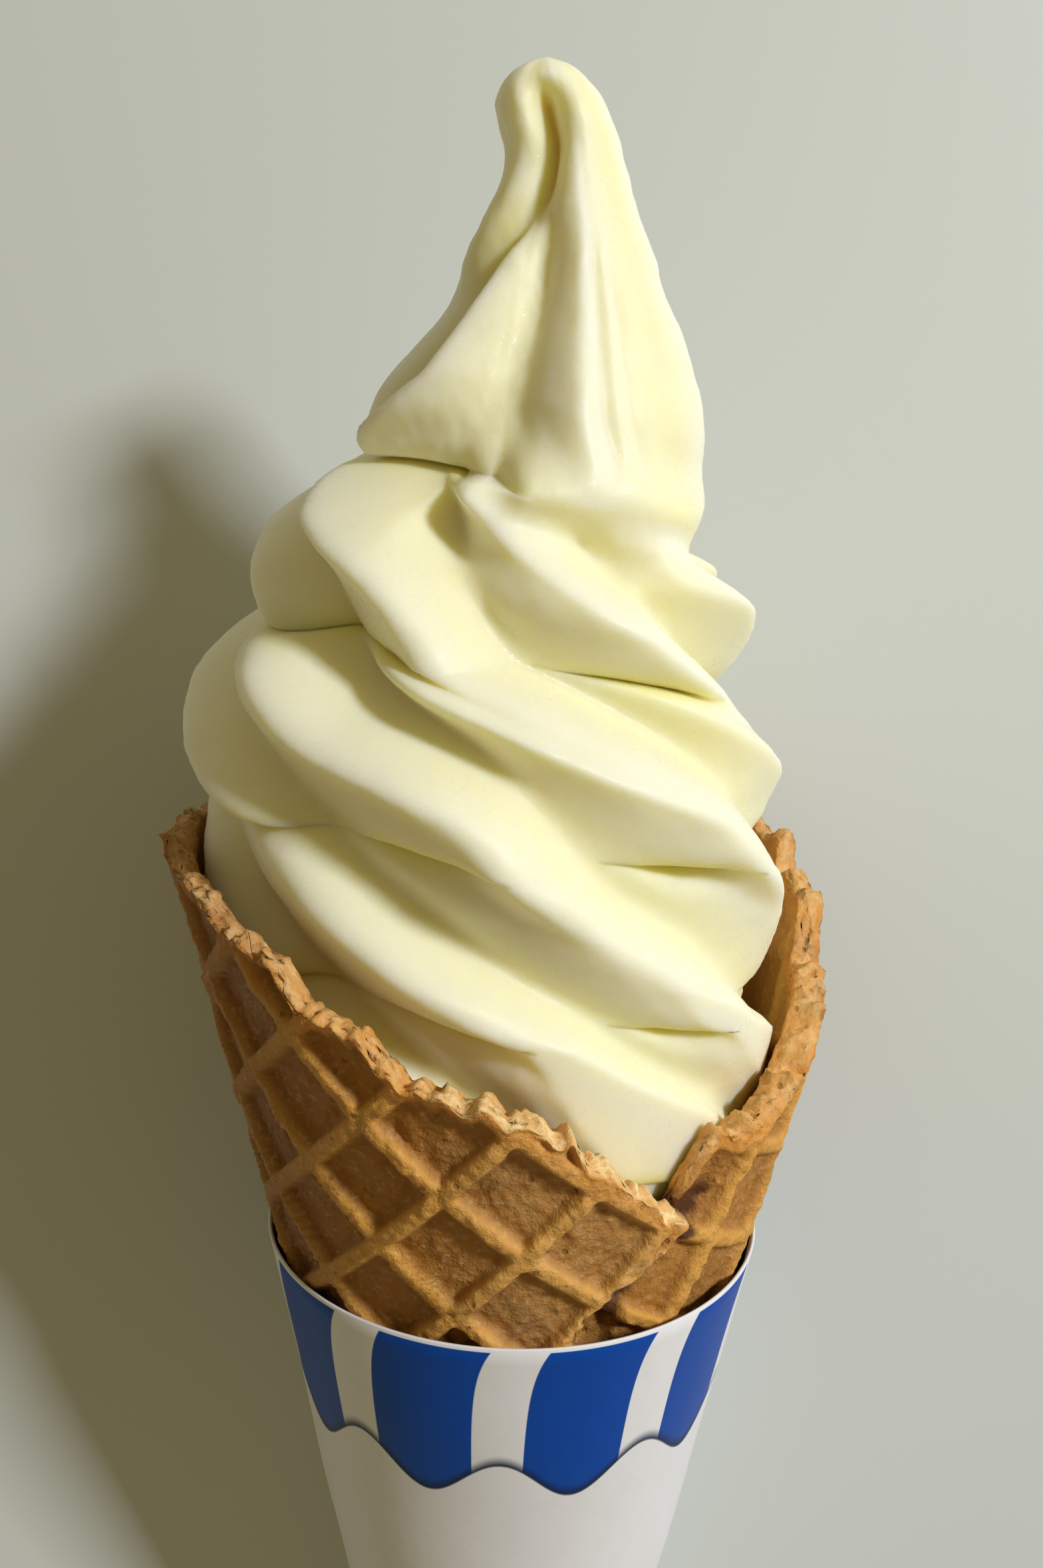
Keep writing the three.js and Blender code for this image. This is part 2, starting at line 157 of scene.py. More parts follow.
# how far the ridges stand to the right of their even places, in ridges, half-way up a turn, and how far
# to the left at its upper edge: (degrees of the rope, ridges)
MIDDLE_SLANT = (
    (-400, 0.1), (600, 0.1), (694, 0.07), (746, 0.17), (900, 0.15), (1053, 0.2), (1085, 0.27),
    (1125, 0.16), (1260, 0.05), (1420, -0.06), (1475, 0.05), (1596, 0), (2200, 0),
)
TOP_SLANT = (
    (-800, 0.5), (250, 0.5), (315, 0.5), (352, 0.3), (450, 0.4), (600, 0.45), (661, 0.42),
    (716, 0.33), (765, 0.17), (850, 0.3), (950, 0.4), (1020, 0.38), (1091, 0.6), (1134, 0.36),
    (1200, 0.4), (1350, 0.6), (1463, 0.78), (1521, 0.75), (1600, 0.7), (2200, 0.7),
)
# degrees of the rope where the slant of a turn's upper and of its lower edge is gone and still full
UPPER_SLANT_END = (1596.0, 1530.0)
LOWER_SLANT_END = (1740.0, 1620.0)
# parts of a ridge's flanks that its crest and its groove round off, on the coil and on the peak
COIL_LEFT_FLANK = (0.10, 0.14)
COIL_RIGHT_FLANK = (0.6, 0.3)
PEAK_FLANK = (0.12, 0.26)
PEAK_VALLEY = 0.6
# heights over which the coil's slanting ridges become the peak's upright ones
UPRIGHT = (68.0, 80.0)
# the deepest groove as a share of the radius, on the coil and on the tip's knob, and the knob's heights
GROOVE_SHARE = 0.3
KNOB_SHARE = 0.10
KNOB = (101.0, 109.0)
# lumps on its skin: (height, size, seed)
SKIN = ((0.09, 7.0, 3), (0.03, 1.9, 5), (0.025, 1.1, 6))
FROST = (0.96, 0.93, 0.74)

# ---- the swirl's peak: its radius against height
PEAK_TOP = 119.3
PEAK_RADIUS = (
    (60, 14), (76, 15), (80, 16.6), (84.5, 17.2), (88, 16.4), (91, 14.7), (94, 12.9), (98, 10.6),
    (101, 9.5), (104, 8), (107, 6.7), (110, 5.8), (113, 5.7), (115, 5.4), (117, 4.1), (118.4, 2.4),
    (PEAK_TOP, 0),
)
# its bulges at the right foot and on the left side: their azimuths, and (out, height, half width)
RIGHT_FOOT = (25.0, 55.0, 120.0, 170.0)
RIGHT_BULGE = (1.5, 77.0, 4.0)
LEFT_SIDE = (-150.0, -120.0, -68.0, -38.0)
LEFT_BULGE = (1.3, 87.0, 8.0)
# the azimuth right of which it grows out of the coil without a crease, the degrees of the rope over
# which it takes over, the fillet there, the saddle without grooves, and the tuck of the left crease
PEAK_JOIN = -13.0
PEAK_ROPE = (1330.0, 1370.0)
PEAK_FILLET = 2.6
PEAK_SADDLE = (PEAK_JOIN, PEAK_JOIN + 16.0, 120.0, 160.0)
PEAK_TUCK = 2.8
# its right side is nearly smooth, with two shallow creases: (depth, azimuth, half width)
RIGHT_SIDE = (26.0, 36.0, 120.0, 150.0)
SIDE_CREASES = ((0.6, 31.5, 3.0), (0.45, 43.0, 3.5))
# degrees by which its ridges stand to the left, and the spread of its left ridge's foot, against height
PEAK_SHIFT = (
    (76, 2), (83, 5), (86.6, 9), (90, 10.5), (94, 13), (99, 13), (103, 12), (106, 13.5), (109, 17),
    (119, 20),
)
FLARE = (
    (70, 30), (84, 27), (87, 10), (88.5, 3), (90, -4), (95, -10), (99, -14), (102, -16), (106, -10),
    (110, 0),
)
FLARE_AZIMUTH = -62.0
FLARE_WIDTH = 34.0
# sideways shift of the middle against height: the tip is bent over to the left
LEAN = (
    (0, 0.3), (20, 0), (38, -2.6), (48, -3.7), (60, -3.9), (68, -3.4), (75, -2.6), (80, -0.8), (86, 0),
    (90, 0.6), (95, 1.7), (101, 1.9), (105, 2), (108.5, 2.2), (111, 1.9), (113, 1.2), (115, 0.5),
    (117, 0.1), (PEAK_TOP, 0),
)
# the fold where the bent tip lies against the peak: its azimuth against height, and the azimuths of the
# left ridge that ends in it
FOLD = (
    (94, -66), (97, -61), (100, -54), (102, -47), (104, -38), (106.5, -29), (109, -25), (111, -17),
    (114, -8), (118, 0),
)
FOLD_HEIGHT = (94.0, 103.0, 113.8, 117.0)
FOLD_DEPTH = 3.3
FOLD_WIDTH = 18.0
LEFT_RIDGE = (-150.0, -120.0, -40.0, -24.0)

# ---- the swirl's plug, which fills the cone: its rows are stretched from PLUG_ROOM down to its end
PLUG_TOP = -2.0
PLUG_END = -98.0
PLUG_ROOM = 14.0
# room between swirl and waffle, and how far from it the swirl starts to give way
GAP = 0.3
EASE = 1.25

# ---- stage
CAMERA_PLACE = (0.002069, 0.044686, 0.183904)
CAMERA_TURN = (-0.78270, 0.16325, 1.73393)
CAMERA_LENS = 32.0
SENSOR = 36.0
KEY_PLACE = (0.70, 0.42, 0.72)
KEY_TARGET = (0.0, 0.0, 0.03)
KEY_SIZE = 0.16


# ----------------------------------------curves and fields
def smooth(x):
    """0 below 0, 1 above 1, and three x squared less two x cubed between."""
    x = np.clip(x, 0.0, 1.0)
    return x * x * (3.0 - 2.0 * x)


def ramp(x, start, end):
    """0 up to start, 1 from end on and smooth between. It runs downwards where end is below start."""
    return smooth((x - start) / (end - start))


def window(x, span):
    """Rises from 0 to 1 over the first two numbers of a span and falls back over the last two."""
    begins, full, ends, gone = span
    return ramp(x, begins, full) * ramp(x, gone, ends)


def rounding(x):
    """A quarter circle's fall: one less the root of one less x squared."""
    return 1.0 - np.sqrt(1.0 - np.clip(x, 0.0, 1.0) ** 2)


def mix(a, b, share):
    """a where share is 0, b where it is 1, and in proportion between."""
    return a + (b - a) * share


def bell(x):
    """Gauss's bell: e to the power of minus x squared."""
    return np.exp(-(x * x))


def hump(x, size, middle, width):
    """A bell of a size and a half width round a middle."""
    return size * bell((x - middle) / width)


def through(points, x):
    """A smooth curve through points: each span is a cubic with its neighbouring chords' slopes."""
    table = np.array(points, float)
    xs, ys = table[:, 0], table[:, 1]
    after = np.minimum(np.arange(len(xs)) + 1, len(xs) - 1)
    before = np.maximum(np.arange(len(xs)) - 1, 0)
    slopes = (ys[after] - ys[before]) / (xs[after] - xs[before])
    at = np.clip(x, xs[0], xs[-1])
    i = np.clip(np.searchsorted(xs, at, side="right") - 1, 0, len(xs) - 2)
    span = xs[i + 1] - xs[i]
    t = (at - xs[i]) / span
    rise = t * t * (3.0 - 2.0 * t)
    leave = t * t * t - 2.0 * t * t + t
    arrive = t * t * t - t * t
    return ys[i] + (ys[i + 1] - ys[i]) * rise + span * (slopes[i] * leave + slopes[i + 1] * arrive)


def lumps(points, size, seed):
    """Soft random lumps, about -1 to 1: a sum of sine waves in random directions, about size long."""
    waves = 26
    random = np.random.default_rng(seed)
    directions = random.normal(size=(waves, 3))
    directions /= np.linalg.norm(directions, axis=1, keepdims=True)
    lengths = size * random.uniform(0.7, 1.7, waves)
    phases = random.uniform(0.0, 2.0 * np.pi, waves)
    total = np.zeros(points.shape[:-1])
    for direction, wavelength, phase in zip(directions, lengths, phases):
        total += np.sin(points @ direction * (2.0 * np.pi / wavelength) + phase)
    return total * math.sqrt(1.0 / waves)


def rough(points, *layers):
    """The sum of layers of lumps, each given as its height, size and seed."""
    return sum(height * lumps(points, size, seed) for height, size, seed in layers)


# ----------------------------------------shapes that the pieces share
def waffle_outside(height):
    """Radius over the ribs: a straight slope above the sleeve's rim and a gentler one below it."""
    return WAFFLE_RADIUS + np.where(height > 0, WAFFLE_FLARE, WAFFLE_TAPER) * height


def waffle_inside(azimuth, height, sheet):
    """Room inside the waffle: the outside less one sheet, and nearly two where it overlaps itself."""
    turn = (seam_azimuth(height) - azimuth) % 360.0
    return waffle_outside(height) - sheet - SECOND_SHEET * sheet * seam_step(turn)


def sleeve_outside(height):
    """The sleeve is a plain cone."""
    return SLEEVE_RIM_RADIUS * (1.0 + height / SLEEVE_APEX_DEPTH)


def seam_azimuth(height):
    """The rolled sheet's outer edge: straight near the rim, it swings left on its way down."""
    return SEAM_AZIMUTH - SEAM_LEAN * ramp(height, SEAM_LEAN_HEIGHT, 0.0)


def seam_step(turn):
    """1 beside the seam, where two layers lie on each other, falling smoothly to 0 away from it."""
    return ramp(np.minimum(turn, 360.0 - turn), SEAM_FADE, 0.0)


REST_HEIGHT = float(through(RIM, REST_TURN))
REST_RIM = float(waffle_outside(REST_HEIGHT)) - REST_CUT_WAFFLE
REST_END = float(sleeve_outside(SLEEVE_END)) - REST_CUT_SLEEVE
TILT = math.atan2(REST_RIM - REST_END, REST_HEIGHT - SLEEVE_END)
SLEEVE_LOW, SLEEVE_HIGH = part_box("paper_sleeve")
# the middle of the sleeve's rim, from the sleeve's box: the rim reaches the box's top and its far side
RIM_MIDDLE = np.array([
    (SLEEVE_LOW.x + SLEEVE_HIGH.x) / 2 / MM,
    SLEEVE_HIGH.y / MM - SLEEVE_RIM_RADIUS * math.sin(TILT),
    SLEEVE_HIGH.z / MM - SLEEVE_RIM_RADIUS * math.cos(TILT),
])


def around(radius, azimuth, height):
    """Points in mm at a radius and an azimuth round the cone's axis: right, in front and up it."""
    a = np.radians(azimuth)
    return np.stack(np.broadcast_arrays(radius * np.sin(a), radius * np.cos(a), height), -1)


def lay(points):
    """Such points laid in the frame, in metres: turned back by the tilt about the x axis, moved, and
    flattened by the floor where they would reach below it."""
    right, front, height = np.moveaxis(points, -1, 0)
    y = height * math.cos(TILT) - front * math.sin(TILT)
    z = height * math.sin(TILT) + front * math.cos(TILT)
    laid = np.stack([right, y, z], -1) + RIM_MIDDLE
    laid[..., 2] = np.maximum(laid[..., 2], 0.0)
    return laid * MM


# ----------------------------------------meshes and materials
def grid_faces(columns, rows, row_shift=0, ring=False):
    """Quads between neighbouring columns. The last column meets the first, row_shift rows lower, and
    with ring the last row meets the first too."""
    index = np.arange(columns * rows).reshape(columns, rows)
    right = np.roll(index, -1, axis=0)
    if row_shift:
        right[-1, row_shift:] = index[0, :-row_shift]
        right[-1, :row_shift] = -1
    quads = np.stack([index, right, np.roll(right, -1, axis=1), np.roll(index, -1, axis=1)], -1)
    if not ring:
        quads = quads[:, :-1]
    quads = quads.reshape(-1, 4)
    return quads[(quads >= 0).all(axis=1)]


def add_object(name, data):
    """A new object in the scene."""
    made = bpy.data.objects.new(name, data)
    bpy.context.scene.collection.objects.link(made)
    return made


def add_mesh(name, points, quads, material, fields=None, welded=True):
    """A smooth mesh from a grid, welded and without the faces that shrink to a line."""
    flat = points.reshape(-1, 3)
    kept = np.arange(len(flat))
    if welded:
        steps = np.round(flat / 1e-7)
        _, kept, joined = np.unique(steps, axis=0, return_index=True, return_inverse=True)
        quads = joined.reshape(-1)[quads]
    repeated = quads == np.roll(quads, -1, axis=1)
    repeats = repeated.sum(axis=1)
    whole = quads[repeats == 0]
    whole = whole[(whole[:, 0] != whole[:, 2]) & (whole[:, 1] != whole[:, 3])]
    triangles = quads[repeats == 1][~repeated[repeats == 1]].reshape(-1, 3)
    mesh = bpy.data.meshes.new(name)
    mesh.from_pydata(flat[kept].tolist(), [], whole.tolist() + triangles.tolist())
    for field, values in (fields or {}).items():
        attribute = mesh.attributes.new(field, "FLOAT", "POINT")
        attribute.data.foreach_set("value", values.reshape(-1)[kept].astype(np.float32))
    mesh.shade_smooth()
    mesh.materials.append(material)
    mesh.validate()
    return add_object(name, mesh)


class Graph:
    """A material's nodes. Each call adds one node, fills its inputs and returns one of its outputs."""

    def __init__(self, name):
        self.material = bpy.data.materials.new(name)
        self.material.use_nodes = True
        self.tree = self.material.node_tree

    def fill(self, node, inputs):
        """Links an output to an input, and sets a number or a colour on it."""
        for key, value in inputs.items():
            socket = node.inputs[key]
            if isinstance(value, bpy.types.NodeSocket):
                self.tree.links.new(value, socket)
            elif socket.type == "RGBA":
                socket.default_value = (*value, 1.0)
            else:
                socket.default_value = value

    def node(self, kind, inputs=None, output=0, **settings):
        made = self.tree.nodes.new(kind)
        for key, value in settings.items():
            setattr(made, key, value)
        self.fill(made, inputs or {})
        return made.outputs[output]

    def finish(self, inputs):
        """Fills the shader's own inputs and returns the material."""
        self.fill(self.tree.nodes["Principled BSDF"], inputs)
        return self.material

    def math(self, operation, a, b=0.0, c=0.0):
        return self.node("ShaderNodeMath", {0: a, 1: b, 2: c}, operation=operation)

    def times(self, a, b):
        return self.math("MULTIPLY", a, b)

    def inverse(self, a):
        return self.math("SUBTRACT", 1.0, a)

    def object(self):
        return self.node("ShaderNodeTexCoord", output="Object")

    def noise(self, scale, detail, roughness=0.55):
        inputs = {"Vector": self.object(), "Scale": scale, "Detail": detail, "Roughness": roughness}
        return self.node("ShaderNodeTexNoise", inputs)

    def pores(self, scale):
        """Distance to the nearest of many scattered points."""
        inputs = {"Vector": self.object(), "Scale": scale, "Randomness": 1.0}
        return self.node("ShaderNodeTexVoronoi", inputs, output="Distance")

    def field(self, name):
        return self.node("ShaderNodeAttribute", output="Fac", attribute_name=name)

    def step(self, value, low, high):
        """0 below low, 1 above high, smooth between."""
        inputs = {"Value": value, "From Min": low, "From Max": high}
        return self.node("ShaderNodeMapRange", inputs, interpolation_type="SMOOTHSTEP")

    def between(self, value, low, high):
        """From low to high as value goes from 0 to 1."""
        return self.node("ShaderNodeMapRange", {"Value": value, "To Min": low, "To Max": high})

    def blend(self, share, a, b):
        return self.node("ShaderNodeMix", {"Factor": share, 6: a, 7: b}, output=2, data_type="RGBA")

    def bump(self, height, distance, strength):
        inputs = {"Height": height, "Distance": distance, "Strength": strength}
        return self.node("ShaderNodeBump", inputs)


# ----------------------------------------settings
def colour(name, description, default):
    """A colour property."""
    return FloatVectorProperty(
        name=name, description=description, subtype="COLOR", size=3, min=0.0, max=1.0, default=default
    )


def length(name, description, default, high=1.0):
    """A length property in metres."""
    return FloatProperty(
        name=name, description=description, unit="LENGTH", default=default, min=0.0, max=high,
        precision=5,
    )


def angle(name, description, degrees):
    """An angle property."""
    return FloatProperty(
        name=name, description=description, subtype="ANGLE", default=math.radians(degrees)
    )


def number(name, description, default, low=0.0, high=1.0):
    """A plain number."""
    return FloatProperty(name=name, description=description, default=default, min=low, max=high)


def count(name, description, default, low):
    """A whole number."""
    return IntProperty(name=name, description=description, default=default, min=low)


class SwirlSettings(bpy.types.PropertyGroup):
    columns: count("Columns", "Grid columns round the swirl", 288, 48)
    rows: count("Rows", "Grid rows in one turn of the coil", 34, 7)
    ridges: count("Ridges", "Ridges left by the star nozzle", 6, 3)
    pitch: length("Pitch", "Height gained by one turn of the coil", 0.016)
    groove: length("Groove", "Depth between ridges", 0.0064)
    valley: number("Valley", "Place of the groove between a crest and the next", 0.33, 0.1, 0.9)
    undercut: length("Undercut", "How deep a turn's upper edge hides behind the turn above", 0.0034)
    lip: length("Lip", "Rounding of a turn's lower edge", 0.0016)
    droop: number("Droop", "Sag for each length that a point stands out", 0.22)
    cream: colour("Cream", "Colour on the crests", (0.905, 0.892, 0.735))
    # painted shade: the darker, yellower cream painted into the grooves, along the creases and in the
    # fold
    painted_shade: colour("Deep cream", "Colour in the creases", (0.87, 0.80, 0.27))


class WaffleSettings(bpy.types.PropertyGroup):
    columns: count("Columns", "Grid columns round the cone", 640, 60)
    rows: count("Rows", "Grid rows on the shown outside", 92, 10)
    sheet: length("Sheet", "Thickness of the baked sheet", 0.0025)
    cell: length("Cell", "Pitch of the ribs", 0.0102)
    pocket: length("Pocket", "Width of a pocket at the ribs' tops", 0.0091)
    floor: length("Pocket floor", "Width of a pocket's flat floor", 0.0074)
    depth: length("Pocket depth", "Depth of a pocket under the ribs", 0.0013)
    crumble: length("Crumble", "Height of the rim's ragged bites", 0.0007)
    rib_turn: angle("Rib turn", "Angle from the sheet's middle line to the ribs", 50.0)
    rib: colour("Ribs", "Colour of the raised ribs", (0.66, 0.33, 0.060))
    baked: colour("Pockets", "Colour of the pockets' floors", (0.40, 0.170, 0.026))
    golden: colour("Golden", "Colour of the crust near the rim", (0.66, 0.28, 0.040))
    # the toasted colour is also painted on as shade: on the left side, in the pores and at the seam
    toasted: colour("Toasted", "Colour of the darkest spots", (0.115, 0.036, 0.010))
    # partly painted light: the broken edge is painted palest on the lit front
    broken: colour("Broken edge", "Colour of the crumbly rim", (0.92, 0.70, 0.36))


class SleeveSettings(bpy.types.PropertyGroup):
    columns: count("Columns", "Grid columns round the sleeve", 240, 24)
    paper: length("Paper", "Thickness of the paper", 0.0004)
    period: angle("Stripe period", "Angle from one blue stripe to the next", 36.0)
    share: number("Blue share", "Blue part of each period", 0.667)
    awning: length("Awning", "Mean depth of the striped band below the rim", 0.01705)
    scallop: length("Scallop", "Half the height of the band's waves", 0.00225)
    blue: colour("Blue", "Colour of the stripes", (0.002, 0.064, 0.40))
    white: colour("Paper white", "Colour of the bare paper", (0.82, 0.825, 0.895))
    shadow: colour("Printed shadow", "Colour of the shadow under the awning", (0.006, 0.02, 0.07))


class StageSettings(bpy.types.PropertyGroup):
    size: length("Floor size", "Width of the plain floor", 6.0, high=20.0)
    floor: colour("Floor", "Colour of the plain floor", (0.65, 0.69, 0.69))
    sky: colour("Room light", "Colour of the soft light all round", (1.0, 0.81, 0.40))
    sky_strength: number("Room strength", "Strength of the light all round", 0.235, high=10.0)
    key: number("Key light", "Power of the soft box on the right", 9.5, high=1000.0)
    key_colour: colour("Key colour", "Colour of the soft box on the right", (0.955, 0.972, 0.97))


# ----------------------------------------swirl
def ridge_azimuth(azimuth, turn, height):
    """Azimuth in which the ridges stand at even distances: on the peak they are turned and spread."""
    spread = bell((azimuth - FLARE_AZIMUTH) / FLARE_WIDTH) * through(FLARE, height)
    return azimuth + np.where(turn >= COLUMN_TURN, spread + through(PEAK_SHIFT, height), 0.0)


def ridge_slant(rope, turn, v):
    """How far the ridges are shifted on a turn, in ridges: a parabola through its lower edge, its middle
    and its upper edge. At the lower edge each crest meets the next crest of the turn below. On the peak
    they stand straight.
    """
    half = 2.0 * v
    middle = through(MIDDLE_SLANT, rope)
    upper = -through(TOP_SLANT, rope) * ramp(rope, *UPPER_SLANT_END)
    lower = (1.0 - through(TOP_SLANT, rope - 360.0)) * ramp(rope, *LOWER_SLANT_END)
    slant = middle + (upper - lower) / 2.0 * half + ((upper + lower) / 2.0 - middle) * half * half
    return np.where((turn >= COLUMN_TURN) & (v > 0), 0.0, slant)


def ridge_profile(phase, valley, left, right):
    """1 on a crest, 0 in a groove, which lies the share valley of a ridge to the right of the crest.

    The flanks are straight, with a parabola over the crest and one in the groove: left and right are the
    parts of the flanks on a crest's two sides that these two round off.
    """
    q = phase - np.floor(phase)
    off = np.where(q < valley, q / valley, (1.0 - q) / (1.0 - valley))
    crest_round = np.where(q < valley, right[0], left[0])
    groove_round = np.where(q < valley, right[1], left[1])
    over = np.clip(crest_round - off, 0, 1) ** 2 / (2.0 * crest_round)
    under = np.clip(off - 1.0 + groove_round, 0, 1) ** 2 / (2.0 * groove_round)
    half = (crest_round + groove_round) / 2.0
    return 1.0 - (off - crest_round / 2.0 + over - under) / (1.0 - half)


def nozzle_crest(s, phase, height):
    """The ridges' profile: the coil's lopsided one becomes the peak's where they stand up."""
    upright = ramp(height, *UPRIGHT)
    valley = mix(s.valley, PEAK_VALLEY, upright)
    left = [mix(coil, peak, upright) for coil, peak in zip(COIL_LEFT_FLANK, PEAK_FLANK)]
    right = [mix(coil, peak, upright) for coil, peak in zip(COIL_RIGHT_FLANK, PEAK_FLANK)]
    return ridge_profile(phase, valley, left, right)


def crease_depth(phase, azimuth, rope_below, fade):
    """How deep the crease under a turn is, from 0 to 1.

    There is none on the right of each crest, where two turns merge. It is full towards the next crest and
    fades again from the share fade on. Far on the left it goes on under the crests too. At the peak's
    foot there is one only on the left.
    """
    q = phase - np.floor(phase)
    between = window(q, (*CREASE_RISE, fade, 1.0))
    between = mix(between, 0.8, window(azimuth, CREASED_LEFT))
    foot = ramp(azimuth, PEAK_JOIN, PEAK_JOIN - 18.0)
    return mix(between, foot, ramp(rope_below, *PEAK_ROPE))


def swirl_envelope(azimuth, turn, v, rope, height, pit, joint):
    """Radius over the crests.

    On the coil it is the rope's own, and near a turn's upper edge it bends to that of the turn above: as
    a quarter circle beside a crease, smoothly where turns merge. The last turn bends to the peak's foot.
    From there on it is the peak's profile with its bulges, or the rope's end where that is larger.
    """
    column = turn >= COLUMN_TURN
    last = turn == COLUMN_TURN - 1
    right_foot = window(azimuth, RIGHT_FOOT)
    peak = through(PEAK_RADIUS, height) + right_foot * hump(height, *RIGHT_BULGE)
    peak = peak + window(azimuth, LEFT_SIDE) * hump(height, *LEFT_BULGE)
    fillet = PEAK_FILLET * (1.0 - pit) * ramp(rope - 360.0, *PEAK_ROPE)
    fillet = np.where(column & (v > 0), 0.0, fillet)
    spread = np.where(column, fillet, PEAK_FILLET * (1.0 - joint) * ramp(rope, *PEAK_ROPE))
    here = through(COIL_RADIUS, rope)
    above = np.where(
        column | last, peak + spread - PEAK_TUCK * joint, through(COIL_RADIUS, rope + 360.0)
    )
    step = here - above
    shoulder = mix(SHOULDER_MERGED, SHOULDER_CREASED, joint)
    shoulder = shoulder + SHOULDER_MORE * ramp(step, 0.0, SHOULDER_STEP)
    shoulder = shoulder * (1.0 - 0.35 * right_foot * last)
    rise = (v - 0.5 + shoulder) / shoulder
    envelope = here - mix(step * smooth(rise), np.maximum(step, 0.0) * rounding(rise), joint)
    standing = peak + fillet * ramp(v, -0.05, -0.5)
    return np.where(column, np.maximum(envelope, standing), envelope)


def groove_depth(deepest, envelope, azimuth, even, level, height):
    """Depth of the grooves between the ridges, and of the peak's two small creases.

    A groove is at most a share of the radius, which falls on the tip's knob. It is a fifth less low on
    the coil, small on the peak's right side, and none in the saddle at its foot and in its left ridge
    beside the fold.
    """
    up = level - COLUMN_TURN
    plain = ramp(up, -0.95, -0.35) * window(even, RIGHT_SIDE)
    share = mix(GROOVE_SHARE, KNOB_SHARE, ramp(height, *KNOB))
    groove = np.minimum(deepest, share * envelope) * (1.0 - 0.72 * plain)
    groove = groove * mix(0.8, 1.0, ramp(height, 50.0, 64.0))
    groove = groove * (1.0 - bell((up + 0.5) / 0.2) * window(azimuth, PEAK_SADDLE))
    groove = groove * (1.0 - window(azimuth, LEFT_RIDGE) * ramp(height, 97.0, 103.0))
    small = plain * ramp(height, 104.0, 94.0) * ramp(up, -0.5, -0.1)
    return groove, small * sum(hump(even, *crease) for crease in SIDE_CREASES)


def fill_cone(radius, z, azimuth, height, sheet):
    """Stretches the swirl's lowest rows down as a plug that fills the cone and puts lumps on the rest.

    All of it is kept inside the waffle by a soft minimum of the radius and the room, with a parabola
    where the two come close. Returns the radius and the height.
    """
    plug = ramp(height, 6.0, -1.0)
    stretch = (PLUG_TOP - PLUG_END) / PLUG_ROOM
    plug_height = np.where(height > PLUG_TOP, height, PLUG_TOP - (PLUG_TOP - height) * stretch)
    z = np.minimum(mix(z, plug_height, plug), PEAK_TOP)
    shown = window(z, (0.0, 8.0, PEAK_TOP - 0.8, PEAK_TOP))
    radius = radius + shown * rough(around(radius, azimuth, z), *SKIN)
    room = waffle_inside(azimuth, z, sheet) - GAP
    radius = np.clip(mix(radius, room, plug), 0.0, room)
    near = np.clip(0.5 + (room - radius) / (2.0 * EASE), 0.0, 1.0)
    eased = radius - EASE * near * (1.0 - near) * (1.0 - plug)
    radius = np.where(height > PLUG_TOP, eased, radius)
    ended = plug_height <= PLUG_END
    radius = np.where(ended | (z >= PEAK_TOP), 0.0, radius)
    return radius, np.where(ended, PLUG_END, z)


def swirl_points(s, sheet, azimuth, turn, across):
    """The swirl's surface at an azimuth, a turn of the coil and across it, from -0.5 to 0.5.

    The radius is the envelope over the crests, less the star nozzle's grooves, a tuck behind the turn
    above, the round of the lower lip and the peak's fold. What stands out sags in proportion.
    The phase counts the ridges round the swirl: whole numbers are crests, and the grooves lie between.
    Returns the laid points and each one's share of painted shade, from 0 to 1: a darker, yellower cream
    painted in the grooves, along the creases and in the fold.
    """
    column = turn >= COLUMN_TURN
    level = turn + across
    v = np.where(column, level - COLUMN_TURN, across)
    rope = 360.0 * np.minimum(turn, COLUMN_TURN) - azimuth
    height = COIL_MIDDLE + s.pitch / MM * (level - azimuth / 360.0)
    even = ridge_azimuth(azimuth, turn, height)
    phase = s.ridges * (even - RIDGE_AZIMUTH) / 360.0 - ridge_slant(rope, turn, v)
    crest = nozzle_crest(s, phase, height)

    pit = crease_depth(phase, azimuth, np.where(v > 0, rope, rope - 360.0), PIT_FADE)
    joint = crease_depth(phase, azimuth, rope, JOINT_FADE)
    envelope = swirl_envelope(azimuth, turn, v, rope, height, pit, joint)
    groove, creases = groove_depth(s.groove / MM, envelope, azimuth, even, level, height)
    tuck = s.undercut / MM * pit * rounding((v - TUCK_START) / (0.5 - TUCK_START))
    tuck = np.where(column, 0.0, tuck * window(rope + 180.0, CREASED_ROPE))
    lip = s.lip / MM * pit * rounding((LIP_END - v) / (LIP_END + 0.5))
    lip = lip * window(rope - 180.0, CREASED_ROPE)
    fold = hump(azimuth, FOLD_DEPTH, through(FOLD, height), FOLD_WIDTH) * window(height, FOLD_HEIGHT)
    radius = envelope - groove * (1.0 - crest) - tuck - lip - creases - fold
    stand = radius - envelope + mix(3.5, 5.0, ramp(height, 68.0, 76.0))
    sag = s.droop * stand * ramp(height, 94.0, 82.0)

    radius, z = fill_cone(radius, height - sag, azimuth, height, sheet)
    points = around(radius, azimuth, z)
    points[..., 0] += through(LEAN, z) * ramp(z, -6.0, 6.0)
    crease = pit * (bell((0.5 - v) / 0.07) + bell((0.5 + v) / 0.07)) * window(rope, CREASED_ROPE)
    # painted shade: how much darker, yellower cream is painted on, most along the creases, less in the
    # fold and the grooves
    painted_shade = np.clip(0.4 * (1.0 - crest) + 0.9 * crease + 0.5 * fold / FOLD_DEPTH, 0.0, 1.0)
    return lay(points), painted_shade


